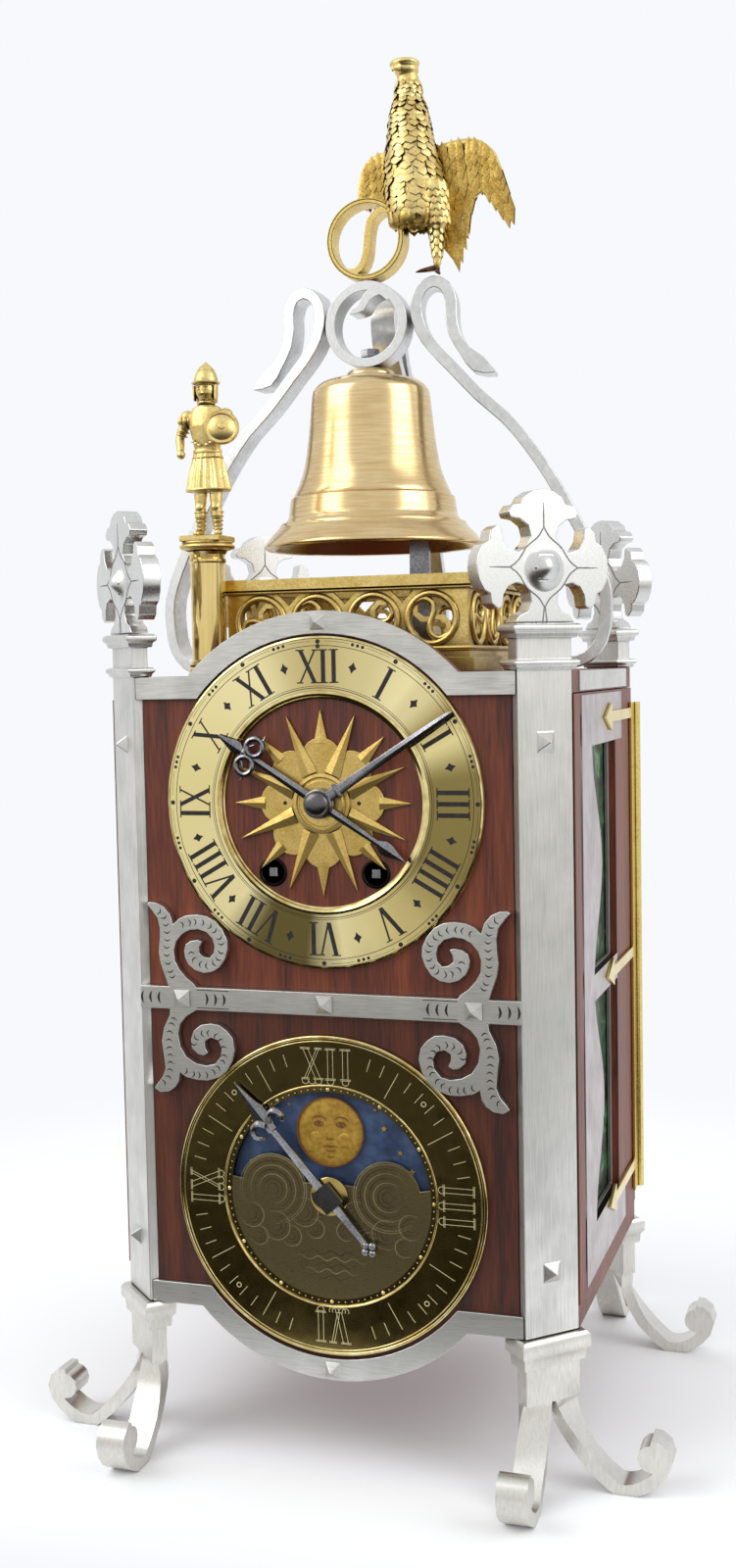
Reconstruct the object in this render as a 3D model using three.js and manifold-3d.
import * as THREE from "three";
import { mergeVertices } from "three/addons/utils/BufferGeometryUtils.js";
import Module from "manifold-3d";

// A tower table clock with a moon dial, two side doors and an open crown that holds its bell.
// Millimetres, +Z up, the dials face -Y, and the origin lies on the table under the clock's centre.

// Gaps and small amounts shared by every piece
const gap = 0.3;
const weldDistance = 0.001;
const cutOverrun = 2;
const runningGap = 0.4;

// Places of the four corners: the middle of each pillar's outer face
const cornerX = 94.7;
const cornerY = 83.7;
const cos45 = Math.SQRT1_2;

// Levels above the table
const mainDialLevel = 288.9;
const moonDialLevel = 120.1;
const strapLevel = 203.5;
const baseLevel = 66.1;
const roofLevel = 343.1;

const pillar = { width: 26.4, depth: 7.2, gapToNeighbours: 0.35 };
const pillarMouldings = {
  collarBottom: 53.6,
  collarTop: baseLevel - gap,
  lowerHeight: 4.1,
  upperBottom: 356.3,
  top: 362.1,
  collarReach: 3.6,
  lowerReach: 2.6,
  upperReach: 3.4,
};
// Height and reach along one moulding
const mouldingShares = [[0, 0], [0, 0.5], [0.35, 0.6], [0.5, 1], [0.85, 1], [1, 0.6], [1, 0]];
const stud = { size: 9.2, height: 4.4, seat: 0.6, railSize: 7.4, topLevel: 313.9, footLevel: 92.8 };

const finial = { arm: 31.6, depth: 8, centreLevel: 384.6, bossRadius: 7.6, bossHeight: 3.4 };
// Half of one arm of the cross, from its shoulder to its tip, across and along the arm
const finialArmShares = [
  [0.5, 0.63], [0.53, 0.7], [0.46, 0.79], [0.34, 0.81], [0.29, 0.9], [0.16, 0.975], [0, 1],
];
const finialBiteShares = { centre: 0.405, radius: 0.21 };
const finialStemShares = [[0.46, -0.7], [0.39, -0.61]];

const leg = {
  splitLevel: 37.4,
  reach: 44.3,
  thickness: 5.4,
  endThickness: 3.6,
  slit: 0.8,
  rollRadius: 8.6,
  rollCentreReach: 38.2,
  rollCentreLevel: 16.9,
  rootOverlap: 3,
};
// Run and height of one leg's centre line, as shares of the reach and of the split's height
const legPathShares = [
  [0, 1.08], [0, 0.98], [0.03, 0.82], [0.11, 0.62], [0.25, 0.37], [0.42, 0.17], [0.54, 0.062],
  [0.66, 0.058], [0.8, 0.13], [0.93, 0.26], [1, 0.44], [0.95, 0.585], [0.85, 0.612],
];
const legTwistShare = 0.32;

const rail = { height: 9.5, thickness: 2, setback: 0.5, archReach: 80.9, archInner: 71.4, studReach: 76.1 };
const strap = { height: 9.9, thickness: 3.7, proud: 1.7, sideStudX: 65.4 };
const volute = { rise: 17, centreX: 55.7 };
// Centre line of a volute from the strap to its eye, about its own centre, with half its width
const voluteShares = [
  [-0.4, -1.16, 0.27], [-0.5, -1, 0.24], [-0.84, -0.72, 0.21], [-0.96, -0.27, 0.2], [-0.96, 0.11, 0.2],
  [-0.83, 0.42, 0.2], [-0.54, 0.63, 0.195], [-0.14, 0.66, 0.195], [0.26, 0.53, 0.19], [0.53, 0.23, 0.19],
  [0.54, -0.11, 0.185], [0.37, -0.4, 0.18], [0.14, -0.5, 0.17], [-0.1, -0.42, 0.15], [-0.28, -0.19, 0.13],
  [-0.22, 0.02, 0.11], [-0.06, 0.1, 0.07],
];
const voluteLeafShares = [
  [-0.9, 0.1], [-0.84, 0.61], [-0.97, 0.95], [-1.15, 1.14], [-1.43, 1.19], [-1.51, 1.11],
  [-1.31, 0.84], [-1.19, 0.57], [-1.07, 0.1],
];

const panel = { thickness: 10, edgeInset: 1, baseInset: 0.5 };
const board = { thickness: 9.4 };

const chapter = { outer: 70, inner: 47.2, thickness: 2 };
const moonChapter = { outer: 69.2, inner: 47.4, thickness: 2 };
const sunburst = { reach: 40, lobe: 27.7, thickness: 1.3, bore: 5 };
const sunburstShares = { lobeEdge: 0.955, rayRoot: 0.88, valley: 0.9, shortRay: 0.985 };
const sunburstAngleShares = { longRay: 0.1, lobeStart: 0.17, lobeMiddle: 0.27, shortRay: 0.4 };
const sunburstPoints = 8;

const cloud = {
  outer: 47.6, rim: 45.6, thickness: 1.1, humpRadius: 14.4, humpX: 26, humpRise: 2.2, hub: 7.5,
  bore: 2,
};
const moonDisc = {
  radius: 45.4, thickness: 1.2, moonRadius: 15.5, moonOrbit: 27.4, relief: 0.4, bore: 2, hub: 4,
};
const moonRecess = { radius: 46, depth: 6 };

const arbor = { radius: 1.5, pipeInner: 1.9, pipeOuter: 2.8, panelBore: 4.2 };
const hands = {
  thickness: 1.2,
  spacing: 1.2,
  hourTip: 54.5,
  hourTail: 44.5,
  minuteTip: 70,
  minuteTail: 9,
  hub: 6.2,
  minuteWidth: 3.6,
  nutRadius: 5.6,
  nutHeight: 3.2,
  moonTip: 63,
  moonTail: 31.5,
  moonHub: 5,
};
// Where the hands stand at rest, counterclockwise from the right-hand side of the dial
const hourHandAngle = THREE.MathUtils.degToRad(147.2);
const minuteHandAngle = THREE.MathUtils.degToRad(32.9);
const moonHandAngle = THREE.MathUtils.degToRad(131.2);
// Outlines of the hands: along the tip as a share of its length, and half the width as a share of the hub
const hourBladeShares = [
  [0, 0.5], [0.12, 0.42], [0.26, 0.26], [0.5, 0.26], [0.74, 0.22], [0.78, 0.66], [0.86, 0.36], [1, 0],
];
const hourTailShares = [[0, 0.5], [0.15, 0.3], [0.68, 0.22], [0.74, 0.62], [0.84, 0.44], [1, 0]];
const hourScrollShares = { along: 0.6, across: 0.82, outer: 0.6, inner: 0.32 };
const moonBladeShares = [
  [0, 0.55], [0.15, 0.34], [0.66, 0.26], [0.72, 1.05], [0.79, 0.9], [0.83, 0.3], [1, 0],
];
const moonTailShares = [[0, 0.5], [0.7, 0.28], [0.76, 0.7], [0.86, 0.75], [0.94, 0.5], [1, 0]];

const door = {
  proud: 0.6,
  thickness: 10.4,
  bottom: 76,
  top: 333.2,
  frontStile: 19.5,
  rearStile: 54.5,
  topRail: 9,
  bottomRail: 9,
};
const tracery = {
  thickness: 2, recess: 3, bar: 12, margin: 14, frontMargin: 34, rearMargin: 2.5, swing: 11, waves: 1,
};
const glass = { thickness: 2.6 };
const straps = {
  width: 8,
  thickness: 1.5,
  armReach: 72,
  armWidth: 5,
  headWidth: 13,
  headLength: 16,
  inset: 7,
  upperArmDrop: 12,
  lowerArmRise: 21,
};
const strapArmLevels = [door.top - straps.upperArmDrop, strapLevel, door.bottom + straps.lowerArmRise];
const hinge = { radius: 2, lug: 5, lugLength: 9, setOut: 2.2 };

const gallery = {
  half: 55.5,
  railHalf: 59,
  baseHalf: 59,
  inner: 51,
  baseHeight: 8.6,
  railBottom: 380.6,
  railTop: 385.4,
  plate: 2.4,
  post: 6,
  motifRadius: 12.1,
  band: 2.3,
};
const motifsPerSide = 4;
// Centre line of the curved bar that divides each round opening
const motifBarShares = [[0, -1.1], [0.4, -0.62], [0.3, -0.2], [0, 0], [-0.3, 0.2], [-0.4, 0.62], [0, 1.1]];

const column = {
  x: -58.9, y: -69, radius: 7.7, baseRadius: 9.6, capBottom: 398, capRadius: 12.3, capTop: 403.4,
};
const plinth = { half: 9, height: 4.2 };
const soldier = { height: 73, width: 17 };

const crownY = -12;
const bell = { lipLevel: 400.2, lipRadius: 50.4, height: 81.6, wall: 3.4, bore: 3.2 };
// Outside and inside of the bell: radius as a share of the lip's, height as a share of the bell's
const bellOuterShares = [
  [1, 0], [1, 0.012], [0.99, 0.03], [0.93, 0.075], [0.865, 0.118], [0.85, 0.142], [0.79, 0.165],
  [0.765, 0.21],
  [0.745, 0.285], [0.715, 0.31], [0.665, 0.375], [0.62, 0.46], [0.582, 0.6], [0.556, 0.74], [0.54, 0.84],
  [0.52, 0.885], [0.45, 0.925], [0.32, 0.948], [0.217, 0.955], [0.215, 0.975], [0.18, 1],
];
const bellInnerShares = [
  [0.46, 0.87], [0.5, 0.8], [0.52, 0.6], [0.56, 0.44], [0.64, 0.3], [0.72, 0.18], [0.83, 0.09],
  [0.93, 0],
];
const bellBolt = { radius: 2.6, headRadius: 4.4, headHeight: 3.4, nutRadius: 5.6, nutHeight: 4.4 };

const crown = {
  depth: 12, barHalf: 2.6, scrollAboveRing: 17.148, footToGallery: 7.4375, rearFootShift: 13,
};
const crownTurnAngle = THREE.MathUtils.degToRad(6.2);
const footInnerShare = 0.625;
// Centre line of a crown arm from its leaf over the scroll down to the foot, about the bell's axis
const crownArmShares = [
  [0.545, 0.742], [0.475, 0.764], [0.418, 0.798], [0.375, 0.842], [0.362, 0.887], [0.362, 0.925],
  [0.338, 0.96],
  [0.287, 0.973], [0.235, 0.955], [0.212, 0.914], [0.23, 0.858], [0.282, 0.81], [0.358, 0.762],
  [0.47, 0.69],
  [0.583, 0.63], [0.677, 0.563], [0.771, 0.48], [0.865, 0.38], [0.95, 0.28], [0.997, 0.203], [1, 0.136],
  [0.978, 0.07], [0.922, 0.03], [0.847, 0.0144], [0.753, 0.0144], [0.67, 0.022],
  [footInnerShare, 0.05], [0.628, 0.085],
];
const crownArmWidthShares = { leafTip: 0.25, leaf: 1.5, bar: 1, foot: 0.7 };
const footStartShare = 0.9;
const crownRing = { outer: 19.4, inner: 15.1, aboveBell: 0.2 };
const crownHookShares = [[0.62, 0.6], [0.35, 0.78], [0.02, 0.6], [-0.1, 0.4], [-0.4, 0.28]];
const giltRing = { outer: 18.4, inner: 15.6, depth: 9, barHalf: 1.5 };
const giltBarShares = [
  [0.62, 0.68], [0.36, 0.66], [0.14, 0.46], [0.06, 0.1], [0.03, -0.2], [-0.06, -0.55], [-0.28, -0.76],
  [-0.56, -0.74],
];

const eagle = {
  x: 23, height: 96.3, wingThickness: 3.4, wingBack: 5.4, span: 40, footX: 30.4, legRadius: 2.2,
  footHalf: 1.7,
};
// Body rings: height, shift to the side, half width and half depth, as shares of the height
const eagleBodyShares = [
  [0.17, 0.005, 0.03, 0.03], [0.19, 0, 0.085, 0.075], [0.25, -0.005, 0.12, 0.108],
  [0.35, -0.005, 0.135, 0.125],
  [0.47, -0.01, 0.132, 0.122], [0.58, -0.02, 0.115, 0.105], [0.68, -0.032, 0.095, 0.088],
  [0.78, -0.045, 0.075, 0.074],
  [0.85, -0.052, 0.064, 0.066], [0.905, -0.055, 0.064, 0.07], [0.955, -0.055, 0.06, 0.066],
  [1, -0.056, 0.028, 0.03],
];
// Wings, tail and their points from the bird's centre line and its feet, as shares of the height
const eagleRightWingShares = [
  [0.02, 0.56], [0.105, 0.62], [0.265, 0.615], [0.35, 0.56], [0.41, 0.4], [0.455, 0.23], [0.44, 0.19],
  [0.365, 0.28],
  [0.3, 0.37], [0.245, 0.335], [0.235, 0.18], [0.16, 0.33], [0.02, 0.36],
];
const eagleLeftWingShares = [
  [-0.02, 0.36], [-0.15, 0.33], [-0.285, 0.36], [-0.29, 0.42], [-0.275, 0.53], [-0.225, 0.59],
  [-0.15, 0.595], [-0.02, 0.56],
];
const eagleTailShares = [[0.08, 0.34], [0.245, 0.17], [0.19, 0.012], [0.14, 0.1], [0.02, 0.26]];
const eagleBeakShares = {
  radius: 0.03, length: 0.085, level: 0.93, side: -0.06, forward: -0.03, drop: 0.015,
};

const movement = {
  plateRadius: 48,
  plateLevel: 274,
  plateThickness: 2,
  frontPlateGap: 6.2,
  plateSpacing: 34,
  pillarRadius: 2.6,
  pillarOrbit: 42,
  postRadius: 3,
};
const barrel = {
  x: 23.05, level: 259.2, radius: 19, length: 24, arborRadius: 2.5, square: 3.6, panelBore: 5.2,
};
const wheels = {
  thickness: 1.4, pitch: 12, cannonTeeth: 8, minuteTeeth: 24, pinionTeeth: 8, hourTeeth: 32, stud: 1,
};
const wheelSide = THREE.MathUtils.degToRad(-60);
// Tooth shape: height above and below the pitch line in modules, and width in tooth pitches
const toothShares = { above: 0.72, below: 1.05, rootWidth: 0.52, tipWidth: 0.2 };
const pendulum = { level: 316, y: -28, rod: 1.2, length: 104, bobRadius: 17, bobHalf: 4, cock: 5 };
const hammer = {
  x: 24, y: -20, pivotLevel: 296, width: 11, thickness: 2.6, headRadius: 5.4, headLevel: 411,
  headLength: 11,
};
const hammerHole = { left: 5, right: 32, back: -12, front: -28 };

// Round faces: how many flats each kind of turned piece has
const flats = { ring: 40, plate: 24, shaft: 12, bell: 24, column: 20, motif: 14, small: 8 };

const wasm = await Module();
wasm.setup();

// Closed meshes: shared corners merged, empty faces dropped and all faces turned outwards
function closedMesh(geometry) {
  const bare = geometry.clone();
  bare.deleteAttribute("normal");
  bare.deleteAttribute("uv");
  const welded = mergeVertices(bare, weldDistance);
  const places = welded.attributes.position;
  const corner = [new THREE.Vector3(), new THREE.Vector3(), new THREE.Vector3()];
  const faces = [];
  let volume = 0;
  for (let i = 0; i < welded.index.count; i += corner.length) {
    const ids = corner.map((_, k) => welded.index.getX(i + k));
    if (new Set(ids).size < corner.length) continue;
    ids.forEach((id, k) => corner[k].fromBufferAttribute(places, id));
    volume += corner[0].dot(corner[1].clone().cross(corner[2]));
    faces.push(ids);
  }
  const turned = volume < 0 ? faces.map((ids) => [ids[0], ids[2], ids[1]]) : faces;
  const closed = new THREE.BufferGeometry();
  closed.setAttribute("position", places);
  closed.setIndex(new THREE.BufferAttribute(new Uint32Array(turned.flat()), 1));
  return closed;
}

function solidOf(geometry) {
  const closed = closedMesh(geometry);
  const mesh = new wasm.Mesh({
    numProp: 3,
    vertProperties: closed.attributes.position.array,
    triVerts: closed.index.array,
  });
  return new wasm.Manifold(mesh);
}

function geometryOf(solid) {
  const mesh = solid.getMesh();
  const geometry = new THREE.BufferGeometry();
  geometry.setAttribute("position", new THREE.BufferAttribute(new Float32Array(mesh.vertProperties), 3));
  geometry.setIndex(new THREE.BufferAttribute(new Uint32Array(mesh.triVerts), 1));
  return geometry;
}

function join(...pieces) {
  return geometryOf(pieces.map(solidOf).reduce((sum, piece) => sum.add(piece)));
}

function cut(piece, ...tools) {
  return geometryOf(tools.map(solidOf).reduce((left, tool) => left.subtract(tool), solidOf(piece)));
}

// Flat outlines
const point = (x, y) => new THREE.Vector2(x, y);

function arc(radius, from, to, steps, centreX = 0, centreY = 0) {
  return Array.from({ length: steps + 1 }, (_, i) => {
    const angle = from + ((to - from) * i) / steps;
    return point(centreX + radius * Math.cos(angle), centreY + radius * Math.sin(angle));
  });
}

function circle(radius, steps, centreX = 0, centreY = 0) {
  return arc(radius, 0, 2 * Math.PI, steps, centreX, centreY).slice(0, steps);
}

function rectangle(left, bottom, right, top) {
  return [point(left, bottom), point(right, bottom), point(right, top), point(left, top)];
}

function sheet(points, holes = []) {
  const shape = new THREE.Shape(points);
  holes.forEach((hole) => shape.holes.push(new THREE.Path(hole)));
  return shape;
}

// A band of changing width along a smooth centre line given as x, y and half width
function band(stations, steps) {
  const curve = new THREE.CatmullRomCurve3(stations.map(([x, y, half]) => new THREE.Vector3(x, y, half)));
  const left = [];
  const right = [];
  for (let i = 0; i <= steps; i += 1) {
    const place = curve.getPoint(i / steps);
    const along = curve.getTangent(i / steps);
    const length = Math.hypot(along.x, along.y);
    const across = point(-along.y / length, along.x / length).multiplyScalar(place.z);
    left.push(point(place.x + across.x, place.y + across.y));
    right.push(point(place.x - across.x, place.y - across.y));
  }
  return left.concat(right.reverse());
}

// Sheets of metal or wood: drawn as seen from the front, from the right, or from above
const seenFromFront = new THREE.Matrix4().makeRotationX(Math.PI / 2);
const seenFromRight = new THREE.Matrix4().makeBasis(
  new THREE.Vector3(0, 1, 0),
  new THREE.Vector3(0, 0, 1),
  new THREE.Vector3(1, 0, 0),
);

function extrude(shape, depth) {
  return new THREE.ExtrudeGeometry(shape, { depth, bevelEnabled: false, steps: 1 });
}

function frontSheet(shape, frontY, thickness) {
  return extrude(shape, thickness).applyMatrix4(seenFromFront).translate(0, frontY + thickness, 0);
}

function sideSheet(shape, innerX, thickness) {
  return extrude(shape, thickness).applyMatrix4(seenFromRight).translate(innerX, 0, 0);
}

function flatSheet(shape, bottom, thickness) {
  return extrude(shape, thickness).translate(0, 0, bottom);
}

function box(low, high) {
  const size = high.clone().sub(low);
  const middle = low.clone().add(high).multiplyScalar(0.5);
  return new THREE.BoxGeometry(size.x, size.y, size.z).translate(middle.x, middle.y, middle.z);
}

const corner3 = (x, y, z) => new THREE.Vector3(x, y, z);

// Turned pieces: about an upright axis, or about a line from front to back
function turned(profile, steps) {
  return new THREE.LatheGeometry(profile, steps).rotateX(Math.PI / 2);
}

function rod(radius, from, to, steps) {
  const along = to.clone().sub(from);
  const geometry = new THREE.CylinderGeometry(radius, radius, along.length(), steps);
  const turn = new THREE.Quaternion().setFromUnitVectors(corner3(0, 1, 0), along.clone().normalize());
  const middle = from.clone().add(to).multiplyScalar(0.5);
  return geometry.applyQuaternion(turn).translate(middle.x, middle.y, middle.z);
}

function crossRod(radius, x, level, frontY, backY, steps) {
  return rod(radius, corner3(x, frontY, level), corner3(x, backY, level), steps);
}

// A solid skin over a row of rings that all have the same number of points
function skin(rings) {
  const count = rings[0].length;
  const places = rings.flat().flatMap((p) => [p.x, p.y, p.z]);
  const faces = [];
  for (let i = 0; i + 1 < rings.length; i += 1) {
    for (let k = 0; k < count; k += 1) {
      const next = (k + 1) % count;
      const here = i * count;
      const above = here + count;
      faces.push(here + k, here + next, above + next, here + k, above + next, above + k);
    }
  }
  const last = (rings.length - 1) * count;
  for (let k = 1; k + 1 < count; k += 1) {
    faces.push(0, k + 1, k, last, last + k, last + k + 1);
  }
  const geometry = new THREE.BufferGeometry();
  geometry.setAttribute("position", new THREE.Float32BufferAttribute(places, 3));
  geometry.setIndex(faces);
  return geometry;
}

function oval(centreX, centreY, level, halfX, halfY, steps) {
  return circle(1, steps).map((p) => corner3(centreX + p.x * halfX, centreY + p.y * halfY, level));
}

function ball(centre, halfX, halfY, halfZ, steps) {
  return new THREE.SphereGeometry(1, steps, Math.ceil(steps / 2))
    .rotateX(Math.PI / 2)
    .scale(halfX, halfY, halfZ)
    .translate(centre.x, centre.y, centre.z);
}

// A tapered round limb
function limb(from, to, startRadius, endRadius) {
  const along = to.clone().sub(from);
  const geometry = new THREE.CylinderGeometry(endRadius, startRadius, along.length(), flats.small);
  const turn = new THREE.Quaternion().setFromUnitVectors(corner3(0, 1, 0), along.clone().normalize());
  const middle = from.clone().add(to).multiplyScalar(0.5);
  return geometry.applyQuaternion(turn).translate(middle.x, middle.y, middle.z);
}

// Finishes
const finishes = {
  nickel: { color: 0xc9c8c4, roughness: 0.38, metalness: 1 },
  brass: { color: 0xd9bd5f, roughness: 0.22, metalness: 1 },
  gilt: { color: 0xcfa94a, roughness: 0.45, metalness: 1 },
  bronze: { color: 0xb08a45, roughness: 0.4, metalness: 1 },
  steel: { color: 0x6d6a68, roughness: 0.3, metalness: 1 },
  mahogany: { color: 0x6d2c17, roughness: 0.5, metalness: 0 },
  glass: { color: 0x2f6a3a, roughness: 0.25, metalness: 0 },
  night: { color: 0x39507a, roughness: 0.6, metalness: 0 },
};

const clock = new THREE.Group();

function addPart(name, geometry, finish, parent = clock) {
  const mesh = new THREE.Mesh(closedMesh(geometry), new THREE.MeshStandardMaterial(finishes[finish]));
  mesh.name = name;
  parent.add(mesh);
  return mesh;
}

// Lines that the pieces of the case share
const pillarRun = (cos45 * pillar.width) / 2;
const frontFace = -(cornerY + pillarRun - rail.setback);
const railHalfLength = cornerX - pillarRun;
const pillarInnerX = cornerX + pillarRun - cos45 * pillar.depth;
const pillarInnerY = cornerY - pillarRun - cos45 * pillar.depth;
const panelFront = frontFace + rail.thickness + gap;
const panelBack = panelFront + panel.thickness;
const doorFace = cornerX + pillarRun + door.proud;

const corners = [
  { name: "front_right", side: 1, end: -1 },
  { name: "front_left", side: -1, end: -1 },
  { name: "rear_right", side: 1, end: 1 },
  { name: "rear_left", side: -1, end: 1 },
];
const cornerTurn = (corner) => Math.atan2(corner.end, corner.side) + Math.PI / 2;

// Whatever meets the pillars is cut back to leave a thin gap behind and beside each of them
function clearOfPillars(geometry) {
  const room = pillar.gapToNeighbours;
  const tools = corners.map((corner) => box(
    corner3(-pillar.width / 2 - room, -pillar.width, baseLevel - cutOverrun),
    corner3(pillar.width / 2 + room, pillar.depth + room, roofLevel + gap),
  ).rotateZ(cornerTurn(corner)).translate(corner.side * cornerX, corner.end * cornerY, 0));
  return cut(geometry, ...tools);
}

// Rectangular rings round a bar, for its shaft and its mouldings
function barRing(level, reach) {
  const half = pillar.width / 2 + reach;
  return [
    corner3(-half, -reach, level),
    corner3(half, -reach, level),
    corner3(half, pillar.depth + reach, level),
    corner3(-half, pillar.depth + reach, level),
  ];
}

function mouldingRings(bottom, height, reach) {
  return mouldingShares.map(([rise, out]) => barRing(bottom + rise * height, out * reach));
}

// A square pyramid that points out of the face it sits on
function studHead(size, level, faceY, x = 0) {
  return new THREE.ConeGeometry(size * cos45, stud.height + stud.seat, 4)
    .rotateY(Math.PI / 4)
    .rotateX(Math.PI)
    .translate(x, faceY + stud.seat - (stud.height + stud.seat) / 2, level);
}

function makePillar() {
  const m = pillarMouldings;
  const shaft = skin([
    barRing(m.collarTop + gap, 0),
    ...mouldingRings(roofLevel + gap, m.lowerHeight, m.lowerReach),
    ...mouldingRings(m.upperBottom, m.top - m.upperBottom, m.upperReach),
  ]);
  return join(shaft, studHead(stud.size, stud.topLevel, 0), studHead(stud.size, stud.footLevel, 0));
}

function makeFinial() {
  const bite = finialBiteShares;
  const biteArc = (from, to, x, y) => arc(bite.radius, from, to, 6, x, y);
  const armRight = finialArmShares.map(([across, along]) => point(along, -across));
  const armRightUp = finialArmShares.slice(0, -1).reverse().map(([across, along]) => point(along, across));
  const armUp = finialArmShares.map(([across, along]) => point(across, along));
  const rightHalf = [
    ...finialStemShares.map(([x, y]) => point(x, y)),
    ...biteArc(Math.PI * 1.25, Math.PI * 0.08, bite.centre, -bite.centre),
    ...armRight,
    ...armRightUp,
    ...biteArc(Math.PI * 1.92, Math.PI * 0.58, bite.centre, bite.centre),
    ...armUp,
  ];
  const leftHalf = rightHalf.slice(0, -1).reverse().map((p) => point(-p.x, p.y));
  const outline = rightHalf.concat(leftHalf).map((p) => p.multiplyScalar(finial.arm));
  const plate = frontSheet(sheet(outline), (pillar.depth - finial.depth) / 2, finial.depth)
    .translate(0, 0, finial.centreLevel);
  const boss = ball(
    corner3(0, (pillar.depth - finial.depth) / 2, finial.centreLevel),
    finial.bossRadius, finial.bossHeight, finial.bossRadius, flats.small,
  );
  return join(plate, boss);
}

// A foot: the moulded collar, the bar under it, and two legs that leave along and across the clock
function makeLeg(side) {
  const path = new THREE.CatmullRomCurve3(
    legPathShares.map(([run, rise]) => corner3(run * leg.reach, 0, rise * leg.splitLevel)),
  );
  const start = point(side * (pillar.width / 4 + leg.slit / 4), pillar.depth / 2);
  const away = point(side * cos45, -cos45);
  const steps = 18;
  const rings = [];
  for (let i = 0; i <= steps; i += 1) {
    const share = i / steps;
    const place = path.getPoint(share);
    const slope = path.getTangent(share);
    const tangent = corner3(away.x * slope.x, away.y * slope.x, slope.z).normalize();
    const turn = Math.min(1, share / legTwistShare) * (Math.PI / 4);
    const width = corner3(Math.cos(turn), side * Math.sin(turn), 0);
    const normal = tangent.clone().cross(width).normalize();
    const across = normal.clone().cross(tangent).normalize();
    const thickness = THREE.MathUtils.lerp(leg.thickness, leg.endThickness, Math.max(0, share - 0.8) * 5);
    const centre = corner3(start.x + away.x * place.x, start.y + away.y * place.x, place.z);
    const half = (pillar.width - leg.slit) / 4;
    rings.push([[1, 1], [-1, 1], [-1, -1], [1, -1]].map(([a, n]) => centre.clone()
      .addScaledVector(across, a * half)
      .addScaledVector(normal, (n * thickness) / 2)));
  }
  const rollCentre = corner3(
    start.x + away.x * leg.rollCentreReach,
    start.y + away.y * leg.rollCentreReach,
    leg.rollCentreLevel,
  );
  const rollAxis = corner3(cos45, side * cos45, 0).multiplyScalar((pillar.width - leg.slit) / 4);
  const core = rod(
    leg.rollRadius - leg.thickness / 2,
    rollCentre.clone().sub(rollAxis),
    rollCentre.clone().add(rollAxis),
    flats.shaft,
  );
  return join(skin(rings), core);
}

function makeFoot() {
  const m = pillarMouldings;
  const bar = skin([
    barRing(leg.splitLevel, 0),
    ...mouldingRings(m.collarBottom, m.collarTop - m.collarBottom, m.collarReach),
  ]);
  const floor = box(
    corner3(-pillar.width - leg.reach, -pillar.width - leg.reach, -leg.splitLevel),
    corner3(pillar.width + leg.reach, pillar.width + leg.reach, 0),
  );
  return cut(join(bar, makeLeg(1), makeLeg(-1)), floor);
}

corners.forEach((corner) => {
  const place = new THREE.Group();
  place.position.set(corner.side * cornerX, corner.end * cornerY, 0);
  place.rotation.z = cornerTurn(corner);
  clock.add(place);
  addPart(`${corner.name}_pillar`, makePillar(), "nickel", place);
  addPart(`${corner.name}_finial`, makeFinial(), "nickel", place);
  addPart(`${corner.name}_foot`, makeFoot(), "nickel", place);
});

// Rails with an arch round the dial: up is 1 for the top rail and -1 for the bottom rail
function makeArchedRail(outerEdge, dialLevel, up) {
  const innerEdge = outerEdge - up * rail.height;
  const outerRise = (outerEdge - dialLevel) * up;
  const innerRise = (innerEdge - dialLevel) * up;
  const outerStart = Math.asin(outerRise / rail.archReach);
  const innerStart = Math.asin(innerRise / rail.archInner);
  const reach = railHalfLength;
  const points = [
    point(-reach, innerRise),
    ...arc(rail.archInner, Math.PI - innerStart, innerStart, flats.plate),
    point(reach, innerRise),
    point(reach, outerRise),
    ...arc(rail.archReach, outerStart, Math.PI - outerStart, flats.plate),
    point(-reach, outerRise),
  ].map((p) => point(p.x, p.y * up + dialLevel));
  const plate = frontSheet(sheet(points), frontFace, rail.thickness);
  const head = studHead(stud.railSize, dialLevel + up * rail.studReach, frontFace);
  return clearOfPillars(join(plate, head));
}

addPart("top_rail", makeArchedRail(roofLevel, mainDialLevel, 1), "nickel");
addPart("bottom_rail", makeArchedRail(baseLevel, moonDialLevel, -1), "nickel");

// The middle strap has a volute with a leaf above and below each end
function makeStrap() {
  const front = frontFace - strap.proud;
  const bar = frontSheet(
    sheet(rectangle(
      -railHalfLength,
      strapLevel - strap.height / 2,
      railHalfLength,
      strapLevel + strap.height / 2,
    )),
    front,
    strap.thickness,
  );
  const centreRise = strap.height / 2 + volute.rise;
  const pieces = [bar];
  for (const side of [-1, 1]) {
    for (const up of [-1, 1]) {
      const place = (x, y) => point(
        side * (volute.centreX - x * volute.rise),
        strapLevel + up * (centreRise + y * volute.rise),
      );
      const scroll = band(voluteShares, 30).map((p) => place(p.x, p.y));
      const leaf = voluteLeafShares.map(([x, y]) => place(x, y));
      pieces.push(frontSheet(sheet(scroll), front, strap.thickness));
      pieces.push(frontSheet(sheet(leaf), front, strap.thickness));
    }
  }
  for (const x of [-strap.sideStudX, 0, strap.sideStudX]) {
    pieces.push(studHead(stud.railSize, strapLevel, front, x));
  }
  return clearOfPillars(join(...pieces));
}

addPart("middle_strap", makeStrap(), "nickel");

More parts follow.
